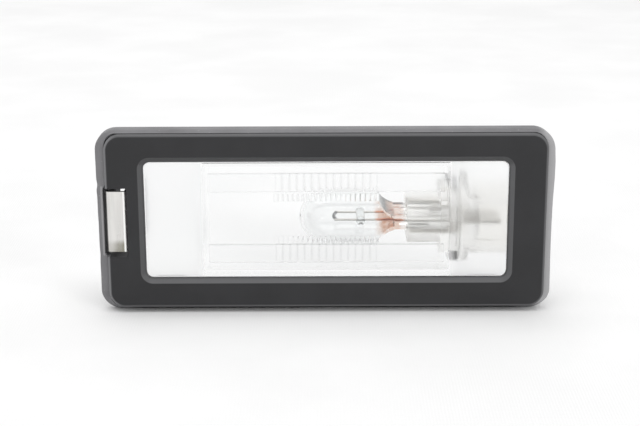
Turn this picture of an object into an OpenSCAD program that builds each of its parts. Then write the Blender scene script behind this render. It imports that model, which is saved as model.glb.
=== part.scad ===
// Number plate lamp: a black bezel with a soft panel seal, a clear lens and light box,
// a steel spring clip, and a quarter turn holder with a wedge base bulb.
// Everything is drawn lying on its back: x to the right, y up the lamp's face and z out of
// the face toward the viewer, with z = 0 on the panel that the lamp is clipped into.
// face_on() then stands it up, so that the face looks along -Y and the light box lies along +Y.

/* [Bezel] */
// Width of the flat face
face_w = 77; // [70:0.5:90]
// Height of the flat face
face_h = 31; // [29:0.5:37]
// Corner radius of the flat face
face_r = 2.5; // [1.5:0.1:4]
// How far the face stands in front of the panel
face_z = 3.6; // [3.4:0.1:4.5]
// How far the face sits to the right of the middle of the rim
face_shift = 0.3; // [0:0.05:0.4]
// Radius of the rounded edge round the face
edge_r = 0.35; // [0.2:0.05:0.4]
// How far the rim stands out beyond the face's ends
rim_side = 1.1; // [0.8:0.05:1.4]
// How far the rim stands out beyond the face's top and bottom
rim_top = 0.6; // [0.6:0.05:1]
// How far the rim and the seal sit below the middle of the face
rim_drop = 0.2; // [0:0.05:0.25]
// How far the rim stands in front of the panel
rim_z = 1.9; // [1.6:0.1:2.2]
// Wall of the bezel
bezel_wall = 1.3; // [1:0.1:1.5]

/* [Window] */
// Width of the bezel's frame beside the lit opening
frame_side = 6.35; // [6.1:0.05:8]
// Width of the bezel's frame above and below the lit opening, on average
frame_top = 4.85; // [4.7:0.05:5.5]
// Corner radius of the lit opening
window_r = 1.3; // [0.6:0.1:2]
// How far the opening sits above the middle of the face
window_rise = 0.2; // [0:0.05:0.4]
// Width of the sloping lip round the opening
lip_w = 0.95; // [0.5:0.05:1.2]
// Depth of the sloping lip
lip_depth = 0.57; // [0.3:0.01:0.8]

/* [Seal] */
// Thickness of the rubber between the bezel and the panel
seal_t = 0.6; // [0.5:0.05:1]
// Thickness of the rubber round the outside of the bezel's rim
seal_lip = 0.6; // [0.5:0.05:1]
// Thickness of the rubber lip that is folded over the front of the bezel's rim
seal_over = 0.45; // [0.3:0.05:0.7]

/* [Panel] */
// How far the rim covers the panel beside its hole
cover_side = 1.1; // [0.9:0.05:1.2]
// How far the rim covers the panel above and below its hole
cover_top = 2.1; // [1.9:0.05:2.3]
// Thickness of the panel that the lamp grips
panel_t = 2.5; // [1.5:0.1:3]

/* [Lens] */
// How far the lens reaches under the bezel on each side
lens_lap = 1; // [0.7:0.1:1.2]
// Thickness of the lens at its border
lens_t = 1.5; // [1.2:0.1:1.6]
// Number of flutes in each bright row
flutes = 14; // [6:1:14]
// Pitch of the flutes
flute_pitch = 1.3; // [1:0.05:1.3]
// Number of ribs in each fine row
fine_ribs = 22; // [8:1:24]
// Pitch of the fine ribs
fine_pitch = 0.85; // [0.7:0.05:0.85]
// Height of the prism bars behind the lens
prism_h = 3.3; // [2.5:0.1:3.6]
// Distance from a prism bar to the wall of the light box
prism_edge = 1.4; // [0.8:0.1:2]
// Depth of the prism bars
prism_t = 0.8; // [0.5:0.1:1]

/* [Light box] */
// Distance from each end of the lit opening to the light box
box_inset = 8.65; // [8.2:0.05:10]
// How far the light box's flange stands out above and below it, on average
box_step = 0.55; // [0.45:0.05:0.7]
// Wall left behind the port for the holder
port_back = 1.9; // [1.8:0.1:4]
// Wall of the light box
box_wall = 1.5; // [1.2:0.1:1.6]
// Thickness of the light box flange
box_flange_t = 1.3; // [1:0.1:1.4]

/* [Bulb and holder] */
// How low the bulb sits in the light box, from 0 in its middle to 1 on its floor
drop_share = 0.85; // [0.5:0.05:0.9]
// Radius of the port for the holder
port_r = 6.9; // [6.6:0.05:7.2]
// Running gap of the holder in its port
port_gap = 0.15; // [0.1:0.01:0.2]
// How far the holder's flange reaches beyond the port
flange_over = 1.3; // [1.2:0.05:1.6]
// Thickness of the holder's flange
holder_flange_t = 1.5; // [1.2:0.1:2]
// Thickness of the soft ring under the holder's flange
ring_t = 0.6; // [0.4:0.05:0.9]
// Radius of the bulb's round glass
bulb_r = 5.1; // [4.8:0.05:5.3]
// Length of the bulb from its tip to the end of its base
bulb_len = 26.8; // [25.5:0.1:27]
// Width of the bulb's flat base
base_w = 9.4; // [9:0.1:9.5]
// Thickness of the bulb's flat base
base_t = 2.3; // [2.1:0.1:2.5]
// Thickness of the bulb's glass
glass_t = 0.6; // [0.5:0.05:0.8]
// Distance from the wall of the light box to the mouth of the holder's socket
socket_reach = 7.4; // [7:0.1:8]
// Height of the connector shroud
shroud_h = 10; // [9:0.1:10.4]
// How far the front and back of the connector shroud lie inside the flange's edge
shroud_inset = 1.6; // [1.4:0.1:1.9]
// Length of the connector shroud
shroud_len = 10.4; // [9.6:0.1:10.6]
// Distance between the two terminals
pin_pitch = 5; // [4.8:0.1:5.2]

/* [Spring clip] */
// Thickness of the spring strip
strip_t = 0.5; // [0.4:0.02:0.6]
// Width of the strip, along the notch
strip_w = 11.1; // [9.6:0.1:11.6]
// Gap between the strip and each end of the notch in the bezel
notch_gap = 0.75; // [0.6:0.05:1.2]
// Gap between the clip's free leg and the edge of the panel's hole
fold_gap = 0.15; // [0.05:0.05:0.3]
// Distance of the fold behind the face
fold_sink = 0.8; // [0.5:0.05:1]
// How far the clip's fold overhangs the panel's edge
fold_over = 0.3; // [0:0.05:0.4]

/* [Hidden] */
$fn = 48;

// Cuts run past the faces that they open by this much
past = 1;
// Play between parts that slide into each other by hand
play = 0.1;

// Rim, lit opening and panel's hole, each measured from the face
rim_w = face_w + 2 * rim_side;
rim_h = face_h + 2 * rim_top;
rim_r = face_r + rim_top;
window_w = face_w - 2 * frame_side;
window_h = face_h - 2 * frame_top;
window_y = window_rise;
cutout_w = rim_w - 2 * cover_side;
cutout_h = rim_h - 2 * cover_top;
cutout_r = 1.5;

// Lens and the recess that it drops into from behind
lip_z = face_z - lip_depth;
lens_w = window_w + 2 * lens_lap;
lens_h = window_h + 2 * lens_lap;
lens_r = window_r + 0.4;
lens_back = seal_t + play;
lens_ledge = lens_back + lens_t;
recess_w = lens_w + 2 * play;
recess_h = lens_h + 2 * play;
collar_w = recess_w + 2 * bezel_wall;
collar_h = recess_h + 2 * bezel_wall;
collar_r = lens_r + bezel_wall;
collar_back = -1.6;

// Snaps and centring ribs, measured in from the ends of the lens
snap_in = 5.15;
snap_w = 5;
snap_h = 0.6;
snap_root = 0.3;
rib_in = 3.15;
rib_w = 1.2;
rib_foot = 0.4;

// Light box, centred on the window's width
box_w = window_w - 2 * box_inset;
box_h = lens_h - 2 * box_step;
box_flange_back = lens_back - box_flange_t;
box_right = face_shift + box_w / 2;
box_r = 2;

// Axis of the bulb and the holder round it
holder_flange_r = port_r + flange_over;
barrel_r = port_r - port_gap;
lug_r = port_r + 1.1;
lug_w = 3;
lug_t = 1.2;
axis_y = -drop_share * (box_h / 2 - box_wall - port_r);
axis_z = box_flange_back - 2 * play - holder_flange_r;
box_back = axis_z - port_r - port_back;

// Stations along the axis, measured in x
wall_x = box_right;
socket_x = wall_x - box_wall - socket_reach;
flange_x = wall_x + ring_t;
shroud_x = flange_x + holder_flange_t;
shroud_end = shroud_x + shroud_len;
base_end = socket_x + socket_reach - play;
tip_x = base_end - bulb_len;
socket_wall_h = 2.15;
socket_wall_d = 1.1;
socket_h = base_t + 2 * socket_wall_h;
socket_d = base_w + 2 * socket_wall_d;
slot_play = 0.4;
slot_end = base_end + 1.1;
shroud_d = 2 * (holder_flange_r - shroud_inset);
shroud_wall = 1.3;
shroud_floor = 2;
shroud_pad = 1;
shroud_mouth = 1.6;

// Post and notch at the left end, with the clip between the post and the panel's edge
post_stand = 0.6;
fold_right = face_shift - collar_w / 2 - post_stand;
leg_left = fold_gap - cutout_w / 2;
fold_left = leg_left - fold_over;
fold_w = fold_right - fold_left;
fold_z = face_z - fold_sink;
notch_y = -0.1;
notch_h = strip_w + 2 * notch_gap;
notch_lip = 0.35;
guide_back = -4;
post_w = 1.8;
post_h = strip_w - 1;
post_back = -9;
bump_r = 9;
bump_reach = 2.75;
bump_h = 8.4;
bump_y = -1.5;
bump_back = -2.6;

// Clip: its bends, its kinked free leg and the tang lanced out of its inner leg
fold_bend = 0.4;
kink_run = 1.5;
kink_bend = 2.2;
ease_bend = 4;
toe_run = 3.4;
clip_short = 1.2;
tang_w = 3;
tang_top = -2.8;
tang_run = 1;
tang_toe = 1.2;
tang_bend = 1;
tang_hole = 2.6;
tang_side = 0.2;

// Hooks at the right end
hook_in = 3.8;
hook_y = cutout_h / 2 - hook_in;
hook_h = 3.6;
hook_t = 1.4;
hook_out = 1.5;
hook_lip = 0.6;
hook_len = 2.4;
hook_right = cutout_w / 2 - 0.5;
hook_z = -panel_t - play;
hook_root = face_z - bezel_wall / 2;

// Stamped contacts: a leaf beside the bulb's base, a double bend and a flat terminal
contact_t = 0.5;
contact_w = 2.8;
wire_r = 0.2;
leaf_y = base_t / 2 + 2 * wire_r + contact_t / 2;
leaf_start = socket_x + 0.6;
leaf_run = slot_end - leaf_start;
jog_r = leaf_y / 2;
jog_straight = (leaf_y - 2 * jog_r * (1 - cos(60))) / sin(60);
jog_len = 2 * jog_r * sin(60) + jog_straight * cos(60);
terminal_run = 4.2;

// Bulb: where its body narrows, and the filament and bead as shares of the way there
shoulder_run = 4;
pinch_run = 1.2;
pinch_x = socket_x - pinch_run;
shoulder_x = pinch_x - shoulder_run;
tube_r = 1.5;
tube_gap = 0.25;
tube_short = 3;
filament_x = tip_x + 0.475 * (shoulder_x - tip_x);
filament_r = 0.3;
support_x = filament_x - 2 * wire_r;
support_end = base_end + play;
wire_back = 5;
bead_x = tip_x + 0.783 * (shoulder_x - tip_x);
bead_r = 0.8;

// Optics on the back of the lens
prism_far = box_h / 2 - box_wall - prism_edge;
prism_short = 2;
fine_row = 1.4;
rib_share = 0.8;
fine_drop = 1;

// Lays a drawing that faces up on its side, so that its face looks along -Y
module face_on() {
    rotate([90, 0, 0]) children();
}

// A rectangle with round corners
module round_rect(w, h, r) {
    square([w - 2 * r, h], center = true);
    square([w, h - 2 * r], center = true);
    for (sx = [-1, 1], sy = [-1, 1]) {
        translate([sx * (w / 2 - r), sy * (h / 2 - r)]) circle(r = r);
    }
}

// A flat plate with round corners between two heights
module plate(w, h, r, z0, z1) {
    translate([0, 0, z0]) linear_extrude(z1 - z0) round_rect(w, h, r);
}

// A flat ring between an outer and an inner round rectangle
module plate_ring(w, h, r, wall, z0, z1) {
    difference() {
        plate(w, h, r, z0, z1);
        plate(w - 2 * wall, h - 2 * wall, max(r - wall, 0.4), z0 - past, z1 + past);
    }
}

// Sweeps a profile round a rectangle with round corners. In the profile x points outward from
// the outline and y points out of the face.
module swept_round(w, h, r) {
    for (quarter = [0 : 3]) {
        across = quarter % 2 == 0 ? w : h;
        along = quarter % 2 == 0 ? h : w;
        rotate(90 * quarter) {
            translate([across / 2, along / 2 - r, 0]) {
                rotate([90, 0, 0]) linear_extrude(along - 2 * r) children();
            }
            translate([across / 2 - r, along / 2 - r, 0]) {
                rotate_extrude(angle = 90) translate([r, 0]) children();
            }
        }
    }
}

// What is cut from a square front edge at height z to round it with radius r
module edge_waste(r, z) {
    translate([-r, z - r]) difference() {
        square(r + past);
        circle(r = r);
    }
}

// Moves a drawing whose x runs along the bulb's axis onto that axis
module on_axis(x = 0) {
    translate([x, axis_y, axis_z]) children();
}

// A cylinder along x, from x0 to x1
module rod_x(r, x0, x1) {
    translate([x0, 0, 0]) rotate([0, 90, 0]) cylinder(r = r, h = x1 - x0);
}

// A box centred in y and z, from x0 to x1
module bar_x(x0, x1, h, d) {
    translate([x0, -h / 2, -d / 2]) cube([x1 - x0, h, d]);
}

// Unit vector to the left of a heading
function left_of(a) = [-sin(a), cos(a)];

// One side of a bent strip, off to the left of its middle line. Each step is
// [straight run, angle of the bend after it, radius of the bend's middle line].
function strip_side(steps, off, p = [0, 0], a = 0, i = 0) =
    i == len(steps) ? [] :
    let (
        run = steps[i][0],
        turn = steps[i][1],
        r = steps[i][2],
        side = sign(turn),
        q = p + run * [cos(a), sin(a)],
        c = q + side * r * left_of(a),
        n = ceil(abs(turn) / 7.5),
        bend = [for (k = [0 : n]) c - side * (r - side * off) * left_of(a + turn * k / max(n, 1))],
        end = turn == 0 ? [q + off * left_of(a)] : bend,
        next = c - side * r * left_of(a + turn)
    )
    concat(i == 0 ? [p + off * left_of(a)] : [], end, strip_side(steps, off, next, a + turn, i + 1));

function reversed(v) = [for (i = [len(v) - 1 : -1 : 0]) v[i]];

// A strip of metal bent in the xy plane, w wide along z and centred on z = 0
module bent_strip(steps, t, w) {
    linear_extrude(w, center = true) {
        polygon(concat(strip_side(steps, t / 2), reversed(strip_side(steps, -t / 2))));
    }
}

// Face and rim of the bezel before anything is cut
module bezel_block() {
    translate([0, -rim_drop, 0]) plate(rim_w, rim_h, rim_r, seal_t, rim_z);
    difference() {
        translate([face_shift, 0, 0]) {
            plate(face_w + 2 * edge_r, face_h + 2 * edge_r, face_r + edge_r, rim_z, face_z);
        }
        translate([face_shift, 0, 0]) {
            swept_round(face_w + 2 * edge_r, face_h + 2 * edge_r, face_r + edge_r) {
                edge_waste(edge_r, face_z);
            }
        }
    }
}

// The sloping lip, cut round the window's opening
module lip_waste() {
    swept_round(window_w, window_h, window_r) {
        polygon([
            [-past, lip_z], [0, lip_z], [lip_w, face_z],
            [lip_w, face_z + past], [-past, face_z + past]
        ]);
    }
}

// Four small ledges inside the collar that hold the light box flange
module snaps() {
    for (sx = [-1, 1], sy = [-1, 1]) {
        translate([face_shift + sx * (lens_w / 2 - snap_in), window_y + sy * recess_h / 2, 0]) {
            rotate([90, 0, 90]) linear_extrude(snap_w, center = true) {
                polygon([
                    [sy * snap_root, box_flange_back - play],
                    [-sy * snap_h, box_flange_back - play],
                    [0, collar_back],
                    [sy * snap_root, collar_back]
                ]);
            }
        }
    }
}

// Ribs that centre the lamp in the panel's hole
module centring_ribs() {
    rib_back = -panel_t - rib_foot - play;
    for (share = [-1, -0.4, 0.4, 1], side = [-1, 1]) {
        foot = window_y + side * (collar_h / 2 - rib_foot);
        tip = side * (cutout_h / 2 - play);
        translate([share * (lens_w / 2 - rib_in), 0, 0]) {
            rotate([90, 0, 90]) linear_extrude(rib_w, center = true) polygon([
                [foot, rim_z], [tip, rim_z], [tip, -panel_t],
                [foot + side * rib_foot, rib_back], [foot, rib_back]
            ]);
        }
    }
}

// Two fixed hooks that catch the panel's right edge
module hooks() {
    for (side = [-1, 1]) {
        translate([hook_right, side * hook_y, 0]) rotate([90, 0, 0]) {
            linear_extrude(hook_h, center = true) polygon([
                [-hook_t, hook_root], [0, hook_root], [0, hook_z], [hook_out, hook_z],
                [hook_out, hook_z - hook_lip], [0, hook_z - hook_len], [-hook_t, hook_z - hook_len]
            ]);
        }
    }
}

// Wall beside the notch with the post that carries the clip
module clip_post() {
    translate([fold_right, notch_y - post_h / 2, post_back]) cube([post_w, post_h, seal_t - post_back]);
    intersection() {
        translate([fold_right + bump_reach - bump_r, bump_y, bump_back]) {
            cylinder(r = bump_r, h = box_flange_back - play - bump_back);
        }
        translate([fold_right, bump_y - bump_h / 2, bump_back]) cube([bump_r, bump_h, bump_r]);
    }
}

// Moulded black bezel with its window, notch, post, ribs, snaps and hooks
module bezel() {
    hollow_w = rim_w - 2 * bezel_wall;
    hollow_h = rim_h - 2 * bezel_wall;
    pocket_z = tang_top - tang_side - tang_hole;
    pocket_w = tang_w + 5 * tang_side;
    color("dimgray") face_on() {
        difference() {
            union() {
                difference() {
                    bezel_block();
                    difference() {
                        translate([0, 0, seal_t - past]) {
                            linear_extrude(face_z - bezel_wall - seal_t + past) difference() {
                                translate([0, -rim_drop]) {
                                    round_rect(hollow_w, hollow_h, rim_r - bezel_wall);
                                }
                                translate([face_shift, window_y]) round_rect(collar_w, collar_h, collar_r);
                            }
                        }
                        translate([fold_left - past, notch_y - notch_h / 2 - bezel_wall, 0]) {
                            cube([fold_w + post_w + 2 * past, notch_h + 2 * bezel_wall, face_z]);
                        }
                    }
                }
                translate([face_shift, window_y, 0]) {
                    plate_ring(collar_w, collar_h, collar_r, bezel_wall, collar_back, face_z - bezel_wall);
                }
                centring_ribs();
                hooks();
                for (side = [-1, 1]) {
                    guide_y = notch_y + side * (notch_h + bezel_wall) / 2 - bezel_wall / 2;
                    translate([leg_left, guide_y, guide_back]) {
                        cube([fold_right + post_w - leg_left, bezel_wall, rim_z - guide_back]);
                    }
                }
            }
            translate([face_shift, window_y, 0]) {
                plate(window_w, window_h, window_r, lens_ledge - past, face_z + past);
                plate(recess_w, recess_h, lens_r + play, collar_back - past, lens_ledge);
                lip_waste();
            }
            translate([-rim_w, notch_y - notch_h / 2, collar_back - past]) {
                cube([rim_w + fold_right, notch_h, face_z - collar_back + 2 * past]);
            }
        }
        snaps();
        difference() {
            clip_post();
            translate([fold_right - past, notch_y - pocket_w / 2, pocket_z]) {
                cube([post_w + 2 * past, pocket_w, tang_hole]);
            }
        }
    }
}

// Soft seal between the bezel and the panel, with a channel that grips the bezel's rim
module panel_seal() {
    seal_w = rim_w + 2 * seal_lip;
    seal_h = rim_h + 2 * seal_lip;
    seal_r = rim_r + seal_lip;
    seal_z = rim_z + seal_over;
    seal_edge = 0.3;
    lip_left = notch_lip - rim_w / 2;
    color("gray") face_on() difference() {
        translate([0, -rim_drop, 0]) difference() {
            plate(seal_w, seal_h, seal_r, 0, seal_z);
            plate(rim_w, rim_h, rim_r, seal_t, rim_z);
            swept_round(seal_w, seal_h, seal_r) edge_waste(seal_edge, seal_z);
        }
        translate([face_shift, 0, 0]) {
            plate(face_w + 2 * edge_r, face_h + 2 * edge_r, face_r + edge_r, seal_t, seal_z + past);
        }
        plate(cutout_w, cutout_h, cutout_r, -past, seal_t + past);
        translate([lip_left, notch_y - notch_h / 2, seal_t]) cube([-lip_left, notch_h, seal_z]);
    }
}

// One row of shallow round ribs on the lens's back, each h long in y. They meet each other at z = 0.
module rib_row(count, pitch, h) {
    r = rib_share * pitch;
    for (i = [0 : count - 1]) {
        translate([(i - (count - 1) / 2) * pitch, 0, r * cos(asin(0.5 / rib_share))]) {
            rotate([90, 0, 0]) cylinder(r = r, h = h, center = true);
        }
    }
}

// Clear lens: a raised panel in the window, a border behind the bezel and optics on its back
module lens() {
    raised_w = window_w - 2 * play;
    raised_h = window_h - 2 * play;
    raised_r = window_r - play;
    raised_edge = 0.3 * (lip_z - lens_ledge);
    bar_w = box_w - 2 * box_wall - prism_short;
    bar_y = prism_far - prism_h / 2;
    color("whitesmoke", 0.5) face_on() translate([face_shift, window_y, 0]) {
        plate(lens_w, lens_h, lens_r, lens_back, lens_ledge);
        difference() {
            plate(raised_w, raised_h, raised_r, lens_ledge, lip_z);
            swept_round(raised_w, raised_h, raised_r) edge_waste(raised_edge, lip_z);
        }
        for (side = [-1, 1]) translate([0, -window_y + side * bar_y, 0]) {
            translate([-bar_w / 2, -prism_h / 2, lens_back - prism_t]) cube([bar_w, prism_h, prism_t]);
            translate([0, 0, lens_back - prism_t]) {
                rib_row(flutes, flute_pitch, prism_h);
            }
        }
        for (side = [-1, 1]) translate([0, -window_y + side * (prism_far - prism_h - fine_drop), lens_back]) {
            rib_row(fine_ribs, fine_pitch, fine_row);
        }
    }
}

// Clear light box, open to the lens, with a round port and bayonet slots in its right wall
module light_box() {
    inner_w = box_w - 2 * box_wall;
    inner_h = box_h - 2 * box_wall;
    color("aliceblue", 0.5) face_on() difference() {
        union() {
            translate([face_shift, window_y, 0]) plate(lens_w, lens_h, lens_r, box_flange_back, lens_back);
            translate([face_shift, 0, 0]) plate(box_w, box_h, box_r, box_back, lens_back);
        }
        translate([face_shift, 0, 0]) {
            plate(inner_w, inner_h, box_r - box_wall, box_back + box_wall, lens_back + past);
        }
        on_axis() {
            rod_x(port_r, wall_x - 2 * box_wall, wall_x + past);
            rotate([135, 0, 0]) {
                bar_x(wall_x - 2 * box_wall, wall_x + past, 2 * lug_r + 2 * play, lug_w + 4 * play);
            }
        }
    }
}

// Folded steel strip that springs against the panel's left edge
module spring_clip() {
    flat = fold_w - strip_t - 2 * fold_bend;
    inner_x = fold_right - strip_t / 2;
    leg = fold_z - strip_t / 2 - fold_bend;
    lean = atan(fold_over / leg);
    clip_back = post_back + clip_short;
    hole_w = tang_w + 2 * tang_side;
    color("silver") face_on() difference() {
        translate([inner_x, notch_y, clip_back]) rotate([90, 0, 0]) rotate(90) {
            bent_strip([
                [leg - clip_back, 90, fold_bend], [flat, 90 + lean, fold_bend],
                [leg / cos(lean) + panel_t, -20 - 2 * lean, ease_bend],
                [kink_run, 44, kink_bend], [toe_run, 0, 1]
            ], strip_t, strip_w);
        }
        translate([inner_x - strip_t, notch_y - hole_w / 2, tang_top - tang_hole]) {
            cube([2 * strip_t, hole_w, tang_hole]);
        }
    }
    color("silver") face_on() translate([inner_x, notch_y, tang_top + 2 * tang_side]) {
        rotate([90, 0, 0]) rotate(-90) {
            bent_strip([[tang_run, 32, tang_bend], [tang_toe, 0, 1]], strip_t, tang_w);
        }
    }
}

// Holder: slotted socket, barrel with two bayonet lugs, flange and connector shroud
module bulb_holder() {
    slot_h = base_t + slot_play;
    slot_d = base_w + slot_play;
    cavity_h = shroud_h - 2 * shroud_wall;
    cavity_d = shroud_d - 2 * shroud_wall;
    color("linen") face_on() on_axis() difference() {
        union() {
            bar_x(socket_x, wall_x - box_wall, socket_h, socket_d);
            rod_x(barrel_r, wall_x - box_wall - lug_t - play, flange_x);
            rod_x(holder_flange_r, flange_x, shroud_x);
            rotate([45, 0, 0]) {
                bar_x(wall_x - box_wall - lug_t - play, wall_x - box_wall - play, 2 * lug_r, lug_w);
            }
            bar_x(shroud_x, shroud_end, shroud_h, shroud_d);
            translate([0, 0, shroud_d / 2]) {
                bar_x(shroud_x, shroud_end - shroud_mouth, shroud_h / 2, shroud_pad);
            }
        }
        bar_x(socket_x - past, slot_end, slot_h, slot_d);
        rod_x(tube_r + tube_gap, socket_x - past, slot_end);
        for (side = [-1, 1]) translate([0, side * (leaf_y / 2 + contact_t / 2), -side * pin_pitch / 2]) {
            bar_x(leaf_start - past, shroud_x, leaf_y + contact_t, contact_w + 2 * play);
        }
        for (side = [-1, 1]) translate([0, 0, -side * pin_pitch / 2]) {
            bar_x(shroud_x - jog_len, shroud_end, contact_t, contact_w);
        }
        bar_x(shroud_x + shroud_floor, shroud_end + past, cavity_h, cavity_d);
    }
}

// Soft ring between the holder's flange and the wall of the light box
module holder_ring() {
    color("darkslategray") face_on() on_axis() difference() {
        rod_x(holder_flange_r - ring_t / 2, wall_x, flange_x);
        rod_x(port_r + play, wall_x - past, flange_x + past);
    }
}

// One stamped contact, above the bulb's base for side = 1 and below it for side = -1
module contact(side) {
    color("goldenrod") face_on() on_axis() translate([leaf_start, side * leaf_y, -side * pin_pitch / 2]) {
        bent_strip([
            [leaf_run, -side * 60, jog_r], [jog_straight, side * 60, jog_r],
            [shroud_x + shroud_floor + terminal_run - leaf_start - leaf_run - jog_len, 0, 1]
        ], contact_t, contact_w);
    }
}

module contact_upper() {
    contact(1);
}

module contact_lower() {
    contact(-1);
}

// Outline of the bulb seen along its flat base, grown or shrunk by g
module bulb_side(g, end_x) {
    half = base_t / 2 + g;
    difference() {
        translate([tip_x - past, -bulb_r - past]) square([end_x - tip_x + past, 2 * bulb_r + 2 * past]);
        for (side = [-1, 1]) {
            translate([pinch_x, side * (half + bulb_r + past)]) {
                square([2 * (end_x - pinch_x), 2 * bulb_r + 2 * past], center = true);
            }
            translate([pinch_x, side * (half + shoulder_run)]) circle(r = shoulder_run);
        }
    }
}

// Round body of the bulb with its domed tip, along x
module bulb_body(g) {
    r = bulb_r + g;
    rotate([0, 90, 0]) rotate_extrude() intersection() {
        union() {
            translate([0, tip_x + bulb_r]) circle(r = r);
            translate([0, tip_x + bulb_r]) square([r, base_end - tip_x - bulb_r]);
        }
        translate([0, tip_x - past]) square([r + past, base_end - tip_x + past]);
    }
}

// The filament's support wires inside the glass, grown by g
module support(side, g = 0) {
    translate([0, 0, -side * pin_pitch / 2]) rod_x(wire_r + g, support_x, support_end);
}

// Glass bulb with a flat wedge base, hollow at the round end
module bulb_glass() {
    color("azure", 0.4) face_on() on_axis() difference() {
        union() {
            intersection() {
                bulb_body(0);
                translate([0, 0, -bulb_r]) linear_extrude(2 * bulb_r) bulb_side(0, socket_x - 2 * play);
            }
            bar_x(pinch_x - 1, base_end, base_t, base_w);
            rod_x(tube_r, pinch_x, base_end - tube_short);
        }
        intersection() {
            bulb_body(-glass_t);
            translate([0, 0, -bulb_r]) linear_extrude(2 * bulb_r) bulb_side(-glass_t, pinch_x - 1);
        }
        for (side = [-1, 1]) support(side);
    }
}

// Glass bead that ties the two support wires together
module bulb_bead() {
    color("lightgray") face_on() on_axis(bead_x) difference() {
        cylinder(r = bead_r, h = pin_pitch + 2 * bead_r, center = true);
        for (side = [-1, 1]) translate([0, 0, -side * pin_pitch / 2]) {
            rod_x(wire_r, -2 * bead_r, 2 * bead_r);
        }
    }
}

// Coiled filament between the ends of the support wires
module bulb_filament() {
    color("gray") face_on() on_axis(filament_x) difference() {
        cylinder(r = filament_r, h = pin_pitch, center = true);
        for (side = [-1, 1]) translate([0, 0, -side * pin_pitch / 2]) {
            rod_x(wire_r, -2 * filament_r, 2 * filament_r);
        }
    }
}

// A support wire that runs out through the base and folds back along one flat side
module bulb_wire(side) {
    fold_r = (base_t / 2 + wire_r) / 2;
    color("chocolate") face_on() on_axis() {
        support(side);
        translate([support_end, side * fold_r, -side * pin_pitch / 2]) {
            rotate(-90) rotate_extrude(angle = 180) translate([fold_r, 0]) circle(r = wire_r, $fn = 24);
        }
        translate([0, side * 2 * fold_r, -side * pin_pitch / 2]) {
            rod_x(wire_r, base_end - wire_back, support_end);
        }
    }
}

module bulb_wire_upper() {
    bulb_wire(1);
}

module bulb_wire_lower() {
    bulb_wire(-1);
}

bezel();
panel_seal();
lens();
light_box();
spring_clip();
bulb_holder();
holder_ring();
contact_upper();
contact_lower();
bulb_glass();
bulb_bead();
bulb_filament();
bulb_wire_upper();
bulb_wire_lower();
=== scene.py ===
"""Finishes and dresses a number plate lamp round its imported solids.

Lengths are in metres, in the frame of the solids: +X runs along the lamp, the lit face looks
along -Y and +Z is up. Each operator makes one group of pieces or finishes.
"""
import math

import bpy
from mathutils import Matrix, Vector, noise


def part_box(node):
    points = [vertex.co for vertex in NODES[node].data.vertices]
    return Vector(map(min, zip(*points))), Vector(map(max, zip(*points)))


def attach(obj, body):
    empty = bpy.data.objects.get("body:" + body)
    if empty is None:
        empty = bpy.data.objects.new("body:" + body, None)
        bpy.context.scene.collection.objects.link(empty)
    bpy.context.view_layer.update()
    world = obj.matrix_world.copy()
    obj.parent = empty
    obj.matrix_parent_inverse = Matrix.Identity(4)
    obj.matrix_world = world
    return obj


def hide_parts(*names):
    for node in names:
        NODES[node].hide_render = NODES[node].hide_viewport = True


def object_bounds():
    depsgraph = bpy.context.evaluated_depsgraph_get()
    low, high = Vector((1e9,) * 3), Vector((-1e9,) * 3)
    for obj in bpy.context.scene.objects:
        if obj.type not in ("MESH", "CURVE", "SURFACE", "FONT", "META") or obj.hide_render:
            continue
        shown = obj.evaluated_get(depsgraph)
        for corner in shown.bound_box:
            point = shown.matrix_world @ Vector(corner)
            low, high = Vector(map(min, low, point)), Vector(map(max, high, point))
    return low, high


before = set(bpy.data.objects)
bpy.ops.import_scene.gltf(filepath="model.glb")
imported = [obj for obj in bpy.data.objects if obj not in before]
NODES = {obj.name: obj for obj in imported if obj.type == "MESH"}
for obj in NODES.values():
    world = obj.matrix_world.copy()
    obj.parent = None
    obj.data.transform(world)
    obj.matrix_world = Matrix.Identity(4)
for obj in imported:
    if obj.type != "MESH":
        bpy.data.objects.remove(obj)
CAD_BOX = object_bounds()
BODY = "root"
MM = 0.001

bl_info = {
    "name": "Number plate lamp dressing",
    "version": (1, 0, 0),
    "blender": (4, 5, 0),
    "location": "3D View > Sidebar > Lamp",
    "description": "Finishes, soft seal, bulb coil and studio for a clip-in number plate lamp",
    "category": "Object",
}

FACE_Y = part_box("bezel")[0].y
FLOOR_Z = CAD_BOX[0].z

# The bezel's raised face, and how far right of the lamp's middle it lies.
FACE_SIZE = (77.0 * MM, 31.0 * MM)
FACE_CORNER = 2.5 * MM
FACE_SHIFT = 0.3 * MM

# The sloping lip round the window, and how far the lens laps behind it.
LIP_WIDTH = 0.95 * MM
LIP_CORNER = 2.2 * MM
LENS_LAP = 1.0 * MM

# How far the light box's front stands behind the lens, with which its solid shares a plane.
BOX_GAP = 0.06 * MM

# Where the copper shows on the bulb's wires and tints its glass, from the bead's end.
COPPER_START, STAIN_START, COPPER_END = 2.0 * MM, 2.5 * MM, 7.0 * MM

# Refractive indexes. Those of the light box, holder and ring are lower than the real ones, because
# light that is caught in their walls would turn them black.
LENS_IOR = 1.49
BOX_IOR = 1.18
HOLDER_IOR = 1.12
RING_IOR = 1.08
GLASS_IOR = 1.5

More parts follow.
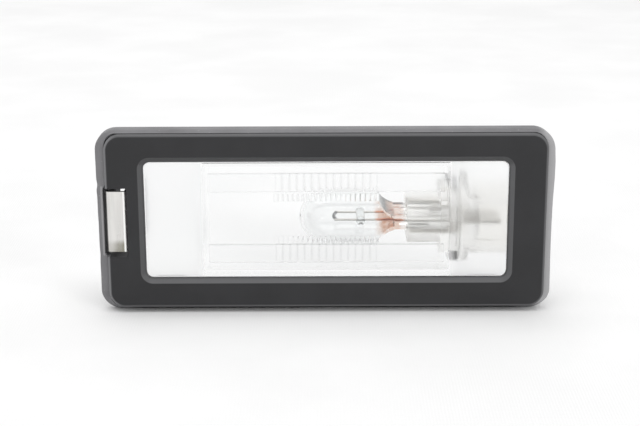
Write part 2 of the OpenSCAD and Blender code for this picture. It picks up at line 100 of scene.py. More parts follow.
# Tones of the finishes that have no property of their own.
DUST = (0.6, 0.6, 0.58)
# Painted highlight and painted shade of the spring clip.
PAINTED_HIGHLIGHT_STEEL = (0.97, 0.97, 0.95)
PAINTED_SHADE_STEEL = (0.08, 0.08, 0.085)
NICKEL = (0.6, 0.58, 0.55)
TIN = (0.97, 0.95, 0.91)
TUNGSTEN = (0.32, 0.32, 0.33)
SILICONE = (0.94, 0.94, 0.93)
BULB_GLASS = (0.985, 0.99, 0.99)
BEAD_GLASS = (0.93, 0.95, 0.95)
COPPER_STAIN = (0.7, 0.46, 0.34)
CLOTH_WHITE = (0.95, 0.95, 0.95)
CLOTH_SHADE = (0.9, 0.9, 0.9)
CLOTH_THREAD = (0.8, 0.8, 0.8)


# Properties


class LampSealProperties(bpy.types.PropertyGroup):
    """Shape and colours of the soft seal round the bezel."""

    stations: bpy.props.IntProperty(
        name="Stations", description="Cross-sections along the seal", default=420, min=80)
    sway: bpy.props.FloatProperty(
        name="Sway", description="How far the soft lip wanders in and out",
        default=0.16 * MM, unit="LENGTH", precision=5)
    kink: bpy.props.FloatProperty(
        name="Kink", description="Depth of the two kinks in the lip beside the notch",
        default=0.15 * MM, unit="LENGTH", precision=5)
    spread: bpy.props.FloatProperty(
        name="Spread", description="How far the seal is pressed out on the right",
        default=0.2 * MM, unit="LENGTH", precision=5)
    ear: bpy.props.FloatProperty(
        name="Ear", description="How much further it stands out high on the right",
        default=0.3 * MM, unit="LENGTH", precision=5)
    climb: bpy.props.FloatProperty(
        name="Climb", description="How far the lip's inner edge climbs the bezel's raised face",
        default=0.3 * MM, unit="LENGTH", precision=5)
    roll: bpy.props.FloatProperty(
        name="Roll", description="How far the lip's outer edge is rolled back along the bottom",
        default=1.0 * MM, unit="LENGTH", precision=5)
    colour: bpy.props.FloatVectorProperty(
        name="Rubber", description="Colour of the seal", subtype="COLOR",
        size=3, default=(0.167, 0.165, 0.172))
    # Painted light: this paler colour is painted on the seal's right end and as a highlight on its
    # left edge.
    painted_light_tone: bpy.props.FloatVectorProperty(
        name="Bloom", description="Colour of the seal where it has bloomed, on the right",
        subtype="COLOR", size=3, default=(0.36, 0.358, 0.365))


class LampFinishProperties(bpy.types.PropertyGroup):
    """Colours of the hard pieces and the bulb's wires."""

    bezel: bpy.props.FloatVectorProperty(
        name="Bezel", description="Colour of the black moulding", subtype="COLOR",
        size=3, default=(0.012, 0.012, 0.0135))
    # The lip is paler than the moulding, with painted shade added on its top and sides.
    lip: bpy.props.FloatVectorProperty(
        name="Lip", description="Colour of the smooth lip round the window", subtype="COLOR",
        size=3, default=(0.108, 0.109, 0.113))
    # Painted highlight: the rounded edge of the bezel's face is painted this paler colour.
    edge: bpy.props.FloatVectorProperty(
        name="Edge", description="Colour of the polished edge of the bezel's face", subtype="COLOR",
        size=3, default=(0.1, 0.1, 0.104))
    steel: bpy.props.FloatVectorProperty(
        name="Steel", description="Colour of the spring clip", subtype="COLOR",
        size=3, default=(0.68, 0.67, 0.65))
    # Partly tarnished and partly painted shade on the clip's lower end.
    tarnish_and_shade: bpy.props.FloatVectorProperty(
        name="Dull patch", description="Colour of the lower end of the spring clip",
        subtype="COLOR", size=3, default=(0.28, 0.27, 0.225))
    clear: bpy.props.FloatVectorProperty(
        name="Clear plastic", description="Tint of the lens and light box", subtype="COLOR",
        size=3, default=(0.985, 0.988, 0.988))
    holder: bpy.props.FloatVectorProperty(
        name="Holder", description="Colour of the bulb holder", subtype="COLOR",
        size=3, default=(0.965, 0.96, 0.947))
    copper: bpy.props.FloatVectorProperty(
        name="Copper", description="Colour of the bulb's wires", subtype="COLOR",
        size=3, default=(0.72, 0.3, 0.16))


class LampBulbProperties(bpy.types.PropertyGroup):
    """The bulb's filament."""

    turns: bpy.props.IntProperty(
        name="Turns", description="Turns of the filament's coil", default=26, min=4)
    coil_radius: bpy.props.FloatProperty(
        name="Coil radius", description="Radius of the coil's middle line",
        default=0.24 * MM, unit="LENGTH", precision=5)
    wire_radius: bpy.props.FloatProperty(
        name="Wire radius", description="Radius of the filament wire",
        default=0.045 * MM, unit="LENGTH", precision=5)
    arch: bpy.props.FloatProperty(
        name="Arch", description="How far the coil arches toward the bulb's tip",
        default=0.5 * MM, unit="LENGTH", precision=5)


class LampStageProperties(bpy.types.PropertyGroup):
    """Camera and light."""

    distance: bpy.props.FloatProperty(
        name="Distance", description="From the camera to the point that it looks at",
        default=260.7 * MM, unit="LENGTH")
    pitch: bpy.props.FloatProperty(
        name="Pitch", description="Angle of the camera above the face's normal",
        default=math.radians(16.18), subtype="ANGLE")
    yaw: bpy.props.FloatProperty(
        name="Yaw", description="Camera's turn about the upright axis",
        default=math.radians(-0.15), subtype="ANGLE")
    roll: bpy.props.FloatProperty(
        name="Roll", description="Camera's roll", default=math.radians(-0.24), subtype="ANGLE")
    aim: bpy.props.FloatVectorProperty(
        name="Aim", description="Point that the camera looks at", subtype="XYZ", unit="LENGTH",
        size=3, default=(-0.8 * MM, -3.6 * MM, 1.66 * MM))
    lens: bpy.props.FloatProperty(
        name="Lens", description="Focal length on a 36 mm wide sensor, in millimetres",
        default=83.25, unit="CAMERA")
    room: bpy.props.FloatProperty(
        name="Room light", description="Strength of the white room on the object", default=0.76)
    lamp: bpy.props.FloatProperty(
        name="Overhead lamp", description="Power of the soft lamp, in watts",
        default=4.7, unit="POWER")
    side_lamp: bpy.props.FloatProperty(
        name="Side lamp", description="Power of the small lamp on the right, in watts",
        default=1.2, unit="POWER")
    paper: bpy.props.FloatProperty(
        name="Backdrop", description="How bright the white room looks", default=0.975)


# Node helpers


def new_node(tree, kind, values=None, **settings):
    """Adds a node, sets its properties, and sets or links its inputs by name or index."""
    node = tree.nodes.new(kind)
    for name, value in settings.items():
        setattr(node, name, value)
    for key, value in (values or {}).items():
        socket = node.inputs[key]
        if isinstance(value, bpy.types.NodeSocket):
            tree.links.new(value, socket)
        elif isinstance(value, (tuple, list)) and socket.type == "RGBA" and len(value) == 3:
            socket.default_value = (*value, 1)
        else:
            socket.default_value = value
    return node


def math_node(tree, operation, a, b=0.0, clamp=False):
    """The result of one operation on two numbers or sockets."""
    node = new_node(
        tree, "ShaderNodeMath", {0: a, 1: b}, operation=operation, use_clamp=clamp)
    return node.outputs[0]


def multiply(tree, first, *others):
    """The product of two or more numbers or sockets."""
    for other in others:
        first = math_node(tree, "MULTIPLY", first, other)
    return first


def distance_from(tree, value, middle):
    """How far a value is from the middle, either way."""
    return math_node(tree, "ABSOLUTE", math_node(tree, "SUBTRACT", value, middle))


def ramp(tree, value, low, high, to_low=0.0, to_high=1.0):
    """Maps value from low..high to to_low..to_high, smoothly and clamped."""
    node = new_node(
        tree, "ShaderNodeMapRange",
        {"Value": value, "From Min": low, "From Max": high, "To Min": to_low, "To Max": to_high},
        interpolation_type="SMOOTHSTEP")
    return node.outputs["Result"]


def mix_colour(tree, factor, a, b):
    """A colour that goes from a to b as the factor goes from zero to one."""
    node = new_node(tree, "ShaderNodeMix", {0: factor, 6: a, 7: b}, data_type="RGBA")
    return node.outputs[2]


def shaded(colour, share):
    """A colour made darker or lighter by a share, but never past white."""
    return tuple(min(c * share, 1.0) for c in colour)


def place(tree):
    """Position on the piece, which every piece here has in the lamp's own frame."""
    return new_node(tree, "ShaderNodeTexCoord").outputs["Object"]


def place_parts(tree):
    """That position's parts, by the axes' names."""
    return new_node(tree, "ShaderNodeSeparateXYZ", {0: place(tree)}).outputs


def normal_part(tree, axis):
    """The part along an axis of a face's own normal."""
    normal = new_node(tree, "ShaderNodeNewGeometry").outputs["True Normal"]
    return new_node(tree, "ShaderNodeSeparateXYZ", {0: normal}).outputs[axis]


def noise_at(tree, vector, scale, detail, roughness=0.5):
    """Smooth noise from zero to one."""
    values = {"Vector": vector, "Scale": scale, "Detail": detail, "Roughness": roughness}
    return new_node(tree, "ShaderNodeTexNoise", values).outputs["Fac"]


def group_tree(name, inputs, outputs):
    """An empty shader node group with named value inputs and outputs, and its two end nodes."""
    tree = bpy.data.node_groups.new(name, "ShaderNodeTree")
    for label, default in inputs:
        socket = tree.interface.new_socket(label, in_out="INPUT", socket_type="NodeSocketFloat")
        socket.default_value = default
    for label in outputs:
        tree.interface.new_socket(label, in_out="OUTPUT", socket_type="NodeSocketFloat")
    return tree, tree.nodes.new("NodeGroupInput"), tree.nodes.new("NodeGroupOutput")


def moulded_grain():
    """Fine spark-eroded grain of a plastic moulding, with slow patches of wear."""
    name = "Moulded grain"
    if name in bpy.data.node_groups:
        return bpy.data.node_groups[name]
    inputs = [("Grain scale", 5000.0), ("Patch scale", 90.0)]
    tree, start, end = group_tree(name, inputs, ["Height", "Patch"])
    at = place(tree)
    grain = noise_at(tree, at, start.outputs["Grain scale"], 4.0, 0.65)
    patch = noise_at(tree, at, start.outputs["Patch scale"], 4.0, 0.6)
    tree.links.new(grain, end.inputs["Height"])
    tree.links.new(ramp(tree, patch, 0.32, 0.68), end.inputs["Patch"])
    return tree


def handling_marks():
    """Soft smears and a few fine specks, as left by hands and dust."""
    name = "Handling marks"
    if name in bpy.data.node_groups:
        return bpy.data.node_groups[name]
    inputs = [("Smear scale", 60.0), ("Speck scale", 1500.0)]
    tree, start, end = group_tree(name, inputs, ["Smear", "Speck"])
    at = place(tree)
    upright = new_node(tree, "ShaderNodeMapping", {"Vector": at, "Scale": (1.0, 1.0, 0.45)})
    smear = noise_at(tree, upright.outputs[0], start.outputs["Smear scale"], 6.0, 0.62)
    cells = new_node(
        tree, "ShaderNodeTexVoronoi", {"Vector": at, "Scale": start.outputs["Speck scale"]})
    tree.links.new(ramp(tree, smear, 0.45, 0.72), end.inputs["Smear"])
    tree.links.new(ramp(tree, cells.outputs["Distance"], 0.12, 0.05), end.inputs["Speck"])
    return tree


def drawn_lines():
    """Long fine lines of rolled or drawn metal, along one axis of the lamp."""
    name = "Drawn lines"
    if name in bpy.data.node_groups:
        return bpy.data.node_groups[name]
    inputs = [("Along X", 1.0), ("Along Y", 1.0), ("Along Z", 1.0), ("Line scale", 3000.0)]
    tree, start, end = group_tree(name, inputs, ["Height", "Streak"])
    along = {axis: start.outputs["Along " + axis] for axis in "XYZ"}
    stretch = new_node(tree, "ShaderNodeCombineXYZ", along).outputs[0]
    stretched = new_node(
        tree, "ShaderNodeVectorMath", {0: place(tree), 1: stretch}, operation="MULTIPLY")
    at, scale = stretched.outputs[0], start.outputs["Line scale"]
    fine = noise_at(tree, at, scale, 3.0, 0.6)
    coarse = noise_at(tree, at, multiply(tree, scale, 0.22), 3.0)
    tree.links.new(fine, end.inputs["Height"])
    tree.links.new(ramp(tree, coarse, 0.35, 0.65), end.inputs["Streak"])
    return tree


def placed_group(tree, group, **values):
    """A node group with its inputs set by name, where an underscore stands for a space."""
    node = new_node(tree, "ShaderNodeGroup", None, node_tree=group)
    for label, value in values.items():
        node.inputs[label.replace("_", " ")].default_value = value
    return node.outputs


def bump(tree, height, distance, strength):
    """A normal that follows a height which stands out by the distance."""
    values = {"Height": height, "Distance": distance, "Strength": strength}
    return new_node(tree, "ShaderNodeBump", values).outputs["Normal"]


def new_material(name):
    """A material with an empty tree. Returns it with its tree and output."""
    material = bpy.data.materials.new(name)
    material.use_nodes = True
    material.node_tree.nodes.clear()
    return material, material.node_tree, new_node(material.node_tree, "ShaderNodeOutputMaterial")


def finish_material(tree, output, values):
    """Ends a tree in a Principled shader with the given inputs."""
    body = new_node(tree, "ShaderNodeBsdfPrincipled", values)
    tree.links.new(body.outputs[0], output.inputs["Surface"])


# Materials


def beyond_rectangle(tree, centre, half, corner):
    """Distance outward from a rectangle with round corners in x and z, negative inside its edge."""
    parts = place_parts(tree)
    beyond = []
    for axis, middle, reach in (("X", centre[0], half[0]), ("Z", centre[1], half[1])):
        off = distance_from(tree, parts[axis], middle)
        past = math_node(tree, "SUBTRACT", off, reach - corner)
        beyond.append(math_node(tree, "MAXIMUM", past, 0.0))
    away = new_node(tree, "ShaderNodeCombineXYZ", {"X": beyond[0], "Y": beyond[1]}).outputs[0]
    distance = new_node(tree, "ShaderNodeVectorMath", {0: away}, operation="LENGTH")
    return math_node(tree, "SUBTRACT", distance.outputs["Value"], corner)


def facing(tree, axis, start, full):
    """Zero to one as a face's normal turns along an axis from start to full."""
    return ramp(tree, normal_part(tree, axis), start, full)


def level_sides(tree):
    """One on the faces that look up or down, such as the sides of the lens's prism bars."""
    return ramp(tree, math_node(tree, "ABSOLUTE", normal_part(tree, "Z")), 0.6, 0.9)


def lip_mask(tree):
    """One on the sloping lip round the lens's raised panel."""
    low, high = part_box("lens")
    grow = LIP_WIDTH - LENS_LAP
    half = ((high.x - low.x) / 2 + grow, (high.z - low.z) / 2 + grow)
    middle = ((low.x + high.x) / 2, (low.z + high.z) / 2)
    distance = beyond_rectangle(tree, middle, half, LIP_CORNER)
    inside = ramp(tree, distance, 0.03 * MM, -0.08 * MM)
    front = ramp(tree, place_parts(tree)["Y"], 0.8 * FACE_Y, 0.9 * FACE_Y)
    return multiply(tree, inside, front)


def lip_colour_with_painted_shade(tree, pale):
    """The lip's colour with painted shade: palest along the bottom, where no shade is painted, and
    darkest along the top.
    """
    # A side is known by the way its slope looks: the left one to the right, the top one down.
    # Painted shade: the left, right and top sides are darkened by these shares.
    sides = {"left": ("X", 1, 0.72), "right": ("X", -1, 0.9), "top": ("Z", -1, 0.52)}
    colour = pale
    for axis, sign, share in sides.values():
        side = facing(tree, axis, 0.1 * sign, 0.35 * sign)
        colour = mix_colour(tree, side, colour, shaded(pale, share))
    return colour


def edge_mask(tree):
    """One on the rounded edge of the raised face and the wall behind it."""
    half = (FACE_SIZE[0] / 2, FACE_SIZE[1] / 2)
    distance = beyond_rectangle(tree, (FACE_SHIFT, 0.0), half, FACE_CORNER)
    return ramp(tree, distance, -0.16 * MM, 0.12 * MM)


def edge_painted_highlight(tree, highlighted):
    """The painted highlight on that edge, painted paler still at the lamp's left end."""
    left = CAD_BOX[0].x
    painted_left_highlight = ramp(tree, place_parts(tree)["X"], left + 4 * MM, left + 2.5 * MM)
    return mix_colour(tree, painted_left_highlight, highlighted, shaded(highlighted, 1.7))


def bezel_material(finish):
    """Satin black moulding, with painted shade on its paler lip and a painted highlight on its
    edge.
    """
    material, tree, output = new_material("Satin black moulding")
    grain = placed_group(tree, moulded_grain(), Grain_scale=4200.0, Patch_scale=110.0)
    marks = placed_group(tree, handling_marks(), Smear_scale=55.0, Speck_scale=900.0)
    dark = finish.bezel[:]
    pale = tuple(c * 1.7 + 0.002 for c in dark)
    colour = mix_colour(tree, multiply(tree, grain["Patch"], 0.5), dark, pale)
    # The paler lip, with painted shade on its top and sides.
    colour = mix_colour(tree, lip_mask(tree), colour, lip_colour_with_painted_shade(tree, finish.lip[:]))
    # Painted highlight on the rounded edge of the raised face.
    colour = mix_colour(tree, edge_mask(tree), colour, edge_painted_highlight(tree, finish.edge[:]))
    rough = math_node(tree, "ADD", 0.42, multiply(tree, grain["Patch"], 0.08))
    smeared = multiply(tree, marks["Smear"], 0.07)
    finish_material(tree, output, {
        "Base Color": colour, "IOR": 1.46,
        "Roughness": math_node(tree, "SUBTRACT", rough, smeared, clamp=True),
        "Normal": bump(tree, grain["Height"], distance=0.012 * MM, strength=0.6)})
    return material


def seal_material(colour, painted_light_tone, painted_left_highlight):
    """Soft rubber with a little dust, painted light at the lamp's right end, painted shade along
    its underside, and a painted highlight on its left edge beside the notch, which the last
    argument spans: its left and right ends and how high it reaches."""
    material, tree, output = new_material("Seal rubber")
    grain = placed_group(tree, moulded_grain(), Grain_scale=2600.0, Patch_scale=160.0)
    marks = placed_group(tree, handling_marks(), Smear_scale=90.0, Speck_scale=1200.0)
    parts = place_parts(tree)
    along, height, end = parts["X"], parts["Z"], CAD_BOX[1].x
    tone = mix_colour(tree, multiply(tree, grain["Patch"], 0.6), colour, shaded(colour, 1.35))
    # Painted light on the seal's right end.
    tone = mix_colour(tree, ramp(tree, along, 0.92 * end, 0.97 * end), tone, painted_light_tone)
    # Painted highlight on the lip's left edge beside the notch.
    left, right, reach = painted_left_highlight
    edge = multiply(
        tree, ramp(tree, along, left - 0.1 * MM, left),
        ramp(tree, along, right + 0.05 * MM, right + 0.02 * MM),
        ramp(tree, math_node(tree, "ABSOLUTE", height), reach + 0.3 * MM, reach),
        ramp(tree, parts["Y"], -1.9 * MM, -2.1 * MM), 0.6)
    tone = mix_colour(tree, edge, tone, painted_light_tone)
    # Painted shade along the underside where the seal meets the cloth, fading out towards the
    # corners.
    corner = end - 4 * MM
    painted_contact_shade = multiply(
        tree, ramp(tree, height, FLOOR_Z + 1.1 * MM, FLOOR_Z + 0.7 * MM),
        ramp(tree, math_node(tree, "ABSOLUTE", along), corner, corner - 4 * MM))
    tone = mix_colour(tree, painted_contact_shade, tone, shaded(colour, 0.2))
    tone = mix_colour(tree, multiply(tree, marks["Speck"], 0.35), tone, DUST)
    finish_material(tree, output, {
        "Base Color": tone,
        "Roughness": math_node(tree, "ADD", 0.5, multiply(tree, marks["Smear"], 0.15)),
        "Normal": bump(tree, grain["Height"], distance=0.03 * MM, strength=0.7)})
    return material


def lens_satin(tree):
    """Extra roughness of the lens's prism bars, most on their sides, and of the back of its two
    end panels."""
    parts = place_parts(tree)
    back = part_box("light_box")[0].y
    low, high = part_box("lens")
    middle = (low.x + high.x) / 2
    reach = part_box("holder_ring")[0].x - middle
    bars = ramp(tree, parts["Y"], back + 0.05 * MM, back + 0.15 * MM, 0.0, 0.2)
    off = distance_from(tree, parts["X"], middle)
    ends = multiply(
        tree, ramp(tree, off, reach - 1.8 * MM, reach - 1.2 * MM, 0.0, 0.3),
        ramp(tree, parts["Y"], back - 0.2 * MM, back - 0.1 * MM))
    sides = multiply(tree, level_sides(tree), 0.55)
    return math_node(tree, "MAXIMUM", math_node(tree, "MAXIMUM", bars, sides), ends)


def stain_mask(tree, start, end, centre, reach):
    """One on a cloudy patch between two places along the lamp, which reaches as far above its
    centre as below."""
    parts = place_parts(tree)
    cloudy = ramp(tree, noise_at(tree, place(tree), 900.0, 2.0), 0.35, 0.6, 0.25, 1.0)
    off = distance_from(tree, parts["Z"], centre)
    return multiply(
        tree, ramp(tree, parts["X"], start - MM, start + MM), cloudy,
        ramp(tree, parts["X"], end + MM, end - MM),
        ramp(tree, off, reach + 0.7 * MM, reach - 0.7 * MM))


def clear_material(name, tint, ior, rough, ripple, satin=None, faint=None, stain=None):
    """Clear plastic or glass that bends what is seen through it and lets lamps reach what is
    behind. Satin is a function that gives extra roughness in a tree, and faint one that gives
    where the faces hardly show. A stain is a colour, the places along the lamp where it starts and
    ends, the height of its middle and half its own height."""
    material, tree, output = new_material(name)
    marks = placed_group(tree, handling_marks(), Smear_scale=70.0, Speck_scale=1000.0)
    uneven = math_node(tree, "ADD", rough, multiply(tree, marks["Smear"], rough * 2))
    if satin:
        uneven = math_node(tree, "ADD", uneven, satin(tree))
    if stain:
        tint = mix_colour(tree, stain_mask(tree, *stain[1:]), tint, stain[0])
    ripples = noise_at(tree, place(tree), 140.0, 2.0)
    body = new_node(tree, "ShaderNodeBsdfPrincipled", {
        "Base Color": tint, "Roughness": uneven, "IOR": ior, "Transmission Weight": 1.0,
        "Normal": bump(tree, ripples, distance=ripple, strength=1.0)})
    if faint:
        hidden = multiply(tree, faint(tree), 0.75)
        tree.links.new(math_node(tree, "SUBTRACT", 1.0, hidden), body.inputs["Alpha"])
    film = new_node(tree, "ShaderNodeBsdfTransparent", {"Color": (0.99, 0.99, 0.99)})
    path = new_node(tree, "ShaderNodeLightPath").outputs
    through = math_node(tree, "MAXIMUM", path["Is Shadow Ray"], path["Is Diffuse Ray"])
    blend = new_node(
        tree, "ShaderNodeMixShader", {0: through, 1: body.outputs[0], 2: film.outputs[0]})
    tree.links.new(blend.outputs[0], output.inputs["Surface"])
    return material


def steel_material(finish):
    """Rolled stainless strip, with a painted highlight along its right bend, a patch low down on
    the right that is partly tarnished and partly painted shade, and painted shade on its cut ends
    and inside the fold."""
    material, tree, output = new_material("Spring strip steel")
    lines = placed_group(
        tree, drawn_lines(), Along_X=1.0, Along_Y=1.0, Along_Z=0.06, Line_scale=5200.0)
    marks = placed_group(tree, handling_marks(), Smear_scale=240.0, Speck_scale=2600.0)
    parts = place_parts(tree)
    along, height, front = parts["X"], parts["Z"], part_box("spring_clip")[0].y
    low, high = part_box("spring_clip")[0].z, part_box("spring_clip")[1].z
    crown = [v.co.x for v in NODES["spring_clip"].data.vertices if v.co.y < front + 0.02 * MM]
    left, right = min(crown), max(crown)
    tall, wide = high - low, right - left

    # Low down on the right the strip is duller: partly tarnished and partly painted shade.
    tarnish_and_shade_mask = math_node(
        tree, "MULTIPLY", ramp(tree, height, low + 0.22 * tall, low + 0.11 * tall),
        math_node(tree, "ADD", 0.8, marks["Smear"]), clamp=True)
    tarnish_and_shade_mask = multiply(
        tree, tarnish_and_shade_mask, ramp(tree, along, left + 0.05 * wide, left + 0.65 * wide, 0.4, 1.0))
    # Painted highlight along the right bend of the crown.
    painted_bend_highlight = ramp(tree, along, right - 0.26 * MM, right - 0.12 * MM)
    # Painted shade on the cut ends of the strip and on the inside of the fold.
    off = distance_from(tree, height, (low + high) / 2)
    painted_shade_ends = ramp(tree, off, tall / 2 - 0.04 * MM, tall / 2 - 0.01 * MM)
    outward = multiply(
        tree, math_node(tree, "SUBTRACT", along, (left + right) / 2), normal_part(tree, "X"))
    inside = ramp(tree, outward, -0.1 * MM, -0.4 * MM)
    dark = math_node(tree, "MAXIMUM", painted_shade_ends, inside)

    tone = mix_colour(tree, lines["Streak"], finish.steel[:], shaded(finish.steel, 1.12))
    tone = mix_colour(tree, tarnish_and_shade_mask, tone, finish.tarnish_and_shade[:])
    tone = mix_colour(tree, painted_bend_highlight, tone, PAINTED_HIGHLIGHT_STEEL)
    tone = mix_colour(tree, dark, tone, PAINTED_SHADE_STEEL)
    rough = math_node(tree, "ADD", 0.27, multiply(tree, lines["Streak"], 0.1))
    finish_material(tree, output, {
        "Base Color": tone, "Metallic": 1.0,
        "Roughness": math_node(tree, "ADD", rough, multiply(tree, dark, 0.3)),
        "Normal": bump(tree, lines["Height"], distance=0.012 * MM, strength=0.5)})
    return material


def metal_material(name, colour, rough, scale, bare=None, metallic=1.0):
    """Drawn metal. Where bare is given, it is nickel plated except between those two places along
    the lamp. A dull plating is less than fully metallic."""
    material, tree, output = new_material(name)
    lines = placed_group(
        tree, drawn_lines(), Along_X=0.08, Along_Y=1.0, Along_Z=1.0, Line_scale=scale)
    tone = mix_colour(tree, lines["Streak"], colour, shaded(colour, 0.72))
    if bare:
        along, fade = place_parts(tree)["X"], 0.4 * MM
        begun = ramp(tree, along, bare[0] - fade, bare[0] + fade)
        ended = ramp(tree, along, bare[1] + fade, bare[1] - fade)
        tone = mix_colour(tree, multiply(tree, begun, ended), NICKEL, tone)
    finish_material(tree, output, {
        "Base Color": tone, "Metallic": metallic,
        "Roughness": math_node(tree, "ADD", rough, multiply(tree, lines["Streak"], 0.12)),
        "Normal": bump(tree, lines["Height"], distance=0.006 * MM, strength=0.5)})
    return material


def cloth_material():
    """White cloth under the lamp, with a faint weave."""
    material, tree, output = new_material("White cloth")
    at = place(tree)
    threads = []
    for axis in ("X", "Y"):
        bands = new_node(
            tree, "ShaderNodeTexWave",
            {"Vector": at, "Scale": 620.0, "Distortion": 0.6, "Detail": 1.0}, bands_direction=axis)
        threads.append(bands.outputs["Fac"])
    weave = multiply(tree, *threads)
    cloudy = ramp(tree, noise_at(tree, at, 26.0, 3.0), 0.3, 0.7)
    tone = mix_colour(tree, cloudy, CLOTH_SHADE, CLOTH_WHITE)
    tone = mix_colour(tree, multiply(tree, weave, 0.12), tone, CLOTH_THREAD)
    finish_material(tree, output, {
        "Base Color": tone, "Roughness": 0.9,
        "Normal": bump(tree, weave, distance=0.05 * MM, strength=0.3)})
    return material


# Mesh helpers


def add_piece(name, points, faces, material, replaced):
    """Makes a smooth mesh object that rides on the lamp and stands for the given solids."""
    mesh = bpy.data.meshes.new(name)
    mesh.from_pydata([tuple(p) for p in points], [], faces)
    mesh.validate()
    mesh.update()
    piece = bpy.data.objects.new(name, mesh)
    bpy.context.scene.collection.objects.link(piece)
    mesh.materials.append(material)
    mesh.shade_smooth()
    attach(piece, BODY)
    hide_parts(*replaced)
    return piece


def ring_faces(rings, sides, closed):
    """Faces between the rings of a swept section with the given number of sides. Where it is
    closed, the last ring joins the first."""
    faces = []
    for i in range(rings if closed else rings - 1):
        for j in range(sides):
            a, b = i * sides, ((i + 1) % rings) * sides
            k = (j + 1) % sides
            faces.append((a + j, a + k, b + k, b + j))
    return faces


def rounded_outline(width, height, radius, distance):
    """Point and outward normal at a distance along a rectangle with round corners, in x and z.
    The distance starts at the middle of the right side and runs anticlockwise."""
    flat_w, flat_h = width - 2 * radius, height - 2 * radius
    arc = math.pi / 2 * radius
    legs = [flat_h / 2, arc, flat_w, arc, flat_h, arc, flat_w, arc, flat_h / 2]
    distance %= sum(legs)
    corners = [(1, 1), (-1, 1), (-1, -1), (1, -1)]
    starts = [
        (Vector((width / 2, 0)), Vector((0, 1))), None,
        (Vector((flat_w / 2, height / 2)), Vector((-1, 0))), None,
        (Vector((-width / 2, flat_h / 2)), Vector((0, -1))), None,
        (Vector((-flat_w / 2, -height / 2)), Vector((1, 0))), None,
        (Vector((width / 2, -flat_h / 2)), Vector((0, 1))),
    ]
    for i, leg in enumerate(legs):
        if distance <= leg or i == len(legs) - 1:
            break
        distance -= leg
    if starts[i]:
        point, way = starts[i]
        return point + way * distance, Vector((way.y, -way.x))
    quarter = i // 2
    angle = quarter * math.pi / 2 + distance / radius
    normal = Vector((math.cos(angle), math.sin(angle)))
    sx, sz = corners[quarter]
    return Vector((sx * flat_w / 2, sz * flat_h / 2)) + normal * radius, normal


def outline_length(width, height, radius):
    """Length of the way round a rectangle with round corners."""
    return 2 * (width + height - 4 * radius) + 2 * math.pi * radius


def bell(x, middle, spread):
    """A smooth hump of height 1 round middle."""
    return math.exp(-((x - middle) / spread) ** 2)


def wave(at, per_metre, layer):
    """Smooth noise from about -1 to 1 at a point of an outline."""
    return noise.noise(Vector((at.x * per_metre, at.y * per_metre, layer)))


def set_material(node, material):
    """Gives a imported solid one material."""
    mesh = NODES[node].data
    mesh.materials.clear()
    mesh.materials.append(material)


def parted_copy(node, name, material, front, shift):
    """Stands in for a clear solid with its front faces moved back a little, so that they don't
    share a plane with the clear piece in front."""
    near = 0.1 * MM
    mesh = NODES[node].data.copy()
    mesh.name = name
    for vertex in mesh.vertices:
        if abs(vertex.co.y - front) < near:
            vertex.co.y += shift
    mesh.update()
    mesh.materials.clear()
    mesh.materials.append(material)
    piece = bpy.data.objects.new(name, mesh)
    bpy.context.scene.collection.objects.link(piece)
    piece.matrix_world = NODES[node].matrix_world
    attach(piece, BODY)
    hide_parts(node)


# Operators


class LAMP_OT_finish_bezel(bpy.types.Operator):
    """Gives the black bezel its moulded finish."""

    bl_idname = "lamp.finish_bezel"
    bl_label = "Finish bezel"

    def execute(self, context):
        set_material("bezel", bezel_material(context.scene.lamp_finish))
        return {"FINISHED"}


